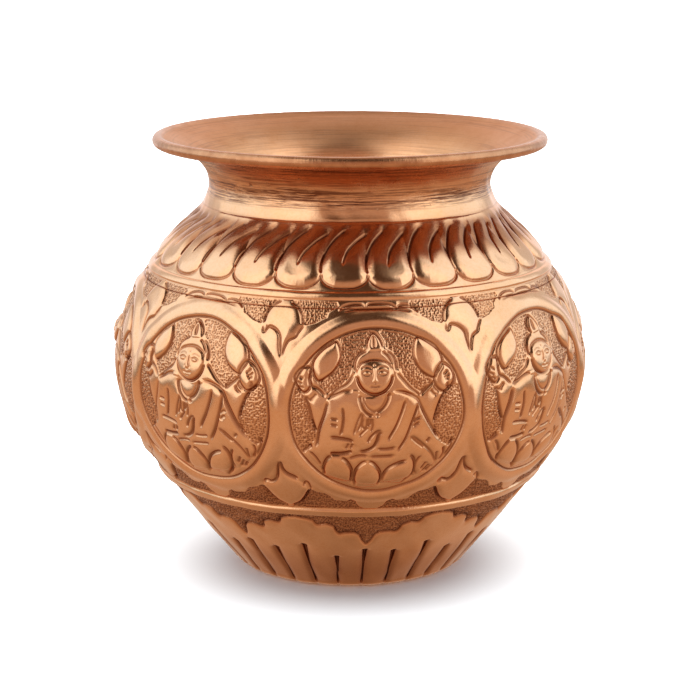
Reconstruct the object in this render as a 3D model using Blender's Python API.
"""Kalash: a small copper water pot, raised in two sheet shells and brazed round the shoulder.

The lower shell is the base and belly. The upper shell is the shoulder, neck and flared mouth, and its
edge is rolled outwards over a wire. The lower shell's rim is stepped in and stands inside the upper
shell as a lap joint, which a fillet of brazing alloy seals on the inside.

Units are metres, +Z is up, and the origin is the centre of the base on the surface it stands on.
"""
import math

import bmesh
import bpy
import numpy as np

MM = 0.001

# Driving dimensions
HEIGHT = 114.3 * MM            # from the surface it stands on to the top of the lip
LIP_RADIUS = 51.2 * MM         # outside of the rolled lip
SHEET = 0.7 * MM               # wall of both shells
FIT_GAP = 0.3 * MM             # between neighbouring pieces
SEGMENTS = 48                  # flats round the axis, the same on every piece

# Outside of the wall from the foot to the lip, as radius and height
WALL_STATIONS = [
    (31.9, 1.6), (36.3, 7.0), (41.0, 13.0), (50.7, 26.0), (58.5, 39.0),    # lower belly
    (61.75, 52.0), (60.3, 65.0), (53.9, 78.0), (45.6, 88.0), (39.55, 94.0),    # belly and shoulder
    (36.95, 98.3), (36.95, 102.4), (38.5, 106.2), (42.6, 110.1), (48.2, 112.75),    # neck and flare
]

# Base: a flat ring that it rests on, round a slightly raised middle
REST_INNER_RADIUS = 23.0 * MM
REST_OUTER_RADIUS = 29.4 * MM
RAISED_RADIUS = 20.0 * MM
RAISED_HEIGHT = 1.2 * MM
FOOT_POINTS = 3                # points on the rounded edge between the ring and the wall
FOOT_TURN = 0.8 * MM           # how far inside the wall's start that edge turns up

# Two raised lines that frame the belly band, as height and how far they stand out
UPPER_RIDGE_HEIGHT = 80.25 * MM
LOWER_RIDGE_HEIGHT = 26.1 * MM
RIDGE_HALF_WIDTH = 0.8 * MM
RIDGE_RELIEF = 0.45 * MM
RIDGE_CLEARANCE = 1.3 * MM     # plain points of the wall keep this far from the middle of a line

# Lap joint
SEAM_HEIGHT = 77.6 * MM        # where the upper shell's edge meets the belly
TONGUE_LENGTH = 3.6 * MM       # how far the lower shell stands up inside the upper one
JOGGLE_LENGTH = 1.6 * MM       # over which the lower shell's wall steps in
TONGUE_OFFSET = SHEET + FIT_GAP

# Rolled lip and its wire
ROLL_RADIUS = 1.5 * MM
WIRE_RADIUS = 0.5 * MM
ROLL_START = math.radians(115)     # where the flare runs into the roll
ROLL_END = math.radians(-150)      # the sheet's cut edge, tucked under the flare
WIRE_SIDES = 8
ROLL_SIDES = 11                # flats round the outside of the roll
ROLL_HOLE_SIDES = 8            # flats round the hole for the wire

# Brazing fillet inside the lap
BRAZE_WIDTH = 1.1 * MM
BRAZE_HOLLOW = 0.35            # where the hollow face's middle lies, as a share of the width

WALL_STEP = 5.4 * MM           # distance between points along the wall


def remove_scene_objects():
    for item in list(bpy.data.objects):
        bpy.data.objects.remove(item, do_unlink=True)


def spline_slopes(spans, values):
    """Slopes at the stations of the natural cubic spline through them."""
    count = len(values)
    lengths = np.diff(spans)
    rates = np.diff(values, axis=0) / lengths[:, None]
    matrix = np.zeros((count, count))
    right = np.zeros_like(values)
    matrix[0, :2] = 2, 1
    right[0] = 3 * rates[0]
    matrix[-1, -2:] = 1, 2
    right[-1] = 3 * rates[-1]
    for i in range(1, count - 1):
        before, after = 1 / lengths[i - 1], 1 / lengths[i]
        matrix[i, i - 1:i + 2] = before, 2 * (before + after), after
        right[i] = 3 * (rates[i - 1] * before + rates[i] * after)
    return np.linalg.solve(matrix, right)


class Wall:
    """The smooth outside of the wall, read by distance along it from the foot."""

    def __init__(self, stations):
        self.points = np.array(stations) * MM
        steps = np.linalg.norm(np.diff(self.points, axis=0), axis=1)
        self.spans = np.concatenate([[0], np.cumsum(steps)])
        self.slopes = spline_slopes(self.spans, self.points)
        self.length = self.spans[-1]

    def at(self, distance):
        """Point and outward normal at a distance along the wall."""
        i = int(np.clip(np.searchsorted(self.spans, distance) - 1, 0, len(self.spans) - 2))
        span = self.spans[i + 1] - self.spans[i]
        t = (distance - self.spans[i]) / span
        p0, p1 = self.points[i], self.points[i + 1]
        m0, m1 = self.slopes[i] * span, self.slopes[i + 1] * span
        point = p0 * (1 + 2 * t) * (1 - t) ** 2 + p1 * t * t * (3 - 2 * t)
        point = point + m0 * t * (1 - t) ** 2 + m1 * t * t * (t - 1)
        tangent = (p1 - p0) * 6 * t * (1 - t) + m0 * (1 - t) * (1 - 3 * t) + m1 * t * (3 * t - 2)
        tangent = tangent / np.linalg.norm(tangent)
        return point, np.array([tangent[1], -tangent[0]])

    def offset(self, distance, inwards):
        point, normal = self.at(distance)
        return point - normal * inwards

    def distance_at(self, height):
        """Distance along the wall at which it reaches a height."""
        low, high = 0.0, self.length
        for _ in range(40):
            middle = (low + high) / 2
            if self.at(middle)[0][1] < height:
                low = middle
            else:
                high = middle
        return (low + high) / 2


WALL = Wall(WALL_STATIONS)
SEAM = WALL.distance_at(SEAM_HEIGHT)
RIDGES = [WALL.distance_at(UPPER_RIDGE_HEIGHT), WALL.distance_at(LOWER_RIDGE_HEIGHT)]


def wall_distances(start, end):
    """Evenly spaced distances from start to end, with three more at each raised line between them."""
    count = max(2, round((end - start) / WALL_STEP))
    plain = np.linspace(start, end, count + 1)
    lines = [ridge for ridge in RIDGES if start < ridge < end]
    kept = [d for d in plain if all(abs(d - line) > RIDGE_CLEARANCE for line in lines)]
    kept += [line + side * RIDGE_HALF_WIDTH for line in lines for side in (-1, 0, 1)]
    return sorted(set(kept) | {plain[0], plain[-1]})


def wall_side(start, end, inwards):
    """Points of one side of the wall, with the raised lines pressed out through the sheet."""
    points = []
    for distance in wall_distances(start, end):
        on_line = any(abs(distance - ridge) < RIDGE_HALF_WIDTH / 2 for ridge in RIDGES)
        points.append(WALL.offset(distance, inwards - (RIDGE_RELIEF if on_line else 0)))
    return points


def arc(centre, radius, start, end, count):
    angles = np.linspace(start, end, count + 1)
    return [np.array([centre[0] + radius * math.cos(a), centre[1] + radius * math.sin(a)]) for a in angles]


def body_bowl_section():
    """Underside, outside, stepped rim and inside of the lower shell, from axis to axis."""
    underside = [
        np.array([0, RAISED_HEIGHT]),
        np.array([RAISED_RADIUS, RAISED_HEIGHT]),
        np.array([REST_INNER_RADIUS, 0]),
        np.array([REST_OUTER_RADIUS, 0]),
    ]
    foot_start = underside[-1]
    foot_end = WALL.at(0)[0]
    corner = np.array([foot_end[0] - FOOT_TURN, 0])
    foot = []
    for i in range(1, FOOT_POINTS):
        t = i / FOOT_POINTS
        foot.append(foot_start * (1 - t) ** 2 + corner * 2 * t * (1 - t) + foot_end * t * t)
    outside = wall_side(0, SEAM, 0)
    tongue_end = SEAM + TONGUE_LENGTH
    tongue = [
        WALL.offset(SEAM, TONGUE_OFFSET),
        WALL.offset(tongue_end, TONGUE_OFFSET),
        WALL.offset(tongue_end, TONGUE_OFFSET + SHEET),
        WALL.offset(SEAM, TONGUE_OFFSET + SHEET),
    ]
    inside = wall_side(0, SEAM - JOGGLE_LENGTH, SHEET)[::-1]
    floor = [
        np.array([REST_OUTER_RADIUS, SHEET]),
        np.array([REST_INNER_RADIUS + SHEET / 2, SHEET]),
        np.array([RAISED_RADIUS + SHEET / 2, RAISED_HEIGHT + SHEET]),
        np.array([0, RAISED_HEIGHT + SHEET]),
    ]
    return underside + foot + outside + tongue + inside + floor


def neck_and_shoulder_section():
    """Outside, rolled lip and inside of the upper shell, as a closed loop."""
    centre = roll_centre()
    edge = SEAM + FIT_GAP
    outside = wall_side(edge, WALL.length, 0)
    hole = arc(centre, ROLL_RADIUS - SHEET, ROLL_START, ROLL_END, ROLL_HOLE_SIDES)
    roll = arc(centre, ROLL_RADIUS, ROLL_END, ROLL_START, ROLL_SIDES)
    inside = wall_side(edge, WALL.length, SHEET)[::-1]
    return outside + hole + roll + inside


def roll_centre():
    return np.array([LIP_RADIUS - ROLL_RADIUS, HEIGHT - ROLL_RADIUS])


def lip_wire_section():
    return arc(roll_centre(), WIRE_RADIUS, 0, 2 * math.pi * (1 - 1 / WIRE_SIDES), WIRE_SIDES - 1)


def seam_braze_section():
    """Hollow-faced fillet in the corner between the tongue's edge and the upper shell's inside."""
    start = SEAM + TONGUE_LENGTH + FIT_GAP
    against_shell = SHEET + FIT_GAP
    hollow = BRAZE_HOLLOW * BRAZE_WIDTH
    return [
        WALL.offset(start, against_shell),
        WALL.offset(start + BRAZE_WIDTH, against_shell),
        WALL.offset(start + hollow, against_shell + hollow),
        WALL.offset(start, against_shell + BRAZE_WIDTH),
    ]


def turned(name, section, closed, material):
    """Spin a section about the vertical axis into one closed solid."""
    mesh_data = bmesh.new()
    verts = [mesh_data.verts.new((radius, 0, height)) for radius, height in section]
    edges = [mesh_data.edges.new(pair) for pair in zip(verts, verts[1:])]
    if closed:
        edges.append(mesh_data.edges.new((verts[-1], verts[0])))
    bmesh.ops.spin(
        mesh_data, geom=verts + edges, cent=(0, 0, 0), axis=(0, 0, 1), dvec=(0, 0, 0),
        angle=2 * math.pi, steps=SEGMENTS, use_merge=True,
    )
    bmesh.ops.remove_doubles(mesh_data, verts=mesh_data.verts, dist=0.001 * MM)
    bmesh.ops.recalc_face_normals(mesh_data, faces=mesh_data.faces)
    mesh = bpy.data.meshes.new(name)
    mesh_data.to_mesh(mesh)
    mesh_data.free()
    mesh.shade_smooth()
    mesh.set_sharp_from_angle(angle=math.radians(35))
    mesh.materials.append(material)
    piece = bpy.data.objects.new(name, mesh)
    bpy.context.scene.collection.objects.link(piece)
    return piece


def metal(name, colour, roughness):
    material = bpy.data.materials.new(name)
    material.use_nodes = True
    shader = material.node_tree.nodes["Principled BSDF"]
    shader.inputs["Base Color"].default_value = (*colour, 1)
    shader.inputs["Metallic"].default_value = 1
    shader.inputs["Roughness"].default_value = roughness
    material.diffuse_color = (*colour, 1)
    return material


def build():
    remove_scene_objects()
    copper = metal("copper", (0.80, 0.42, 0.27), 0.30)
    wire_metal = metal("copper_wire", (0.62, 0.30, 0.19), 0.45)
    alloy = metal("brazing_brass", (0.78, 0.60, 0.30), 0.40)
    turned("body_bowl", body_bowl_section(), False, copper)
    turned("neck_and_shoulder", neck_and_shoulder_section(), True, copper)
    turned("lip_wire", lip_wire_section(), True, wire_metal)
    turned("seam_braze", seam_braze_section(), True, alloy)


build()
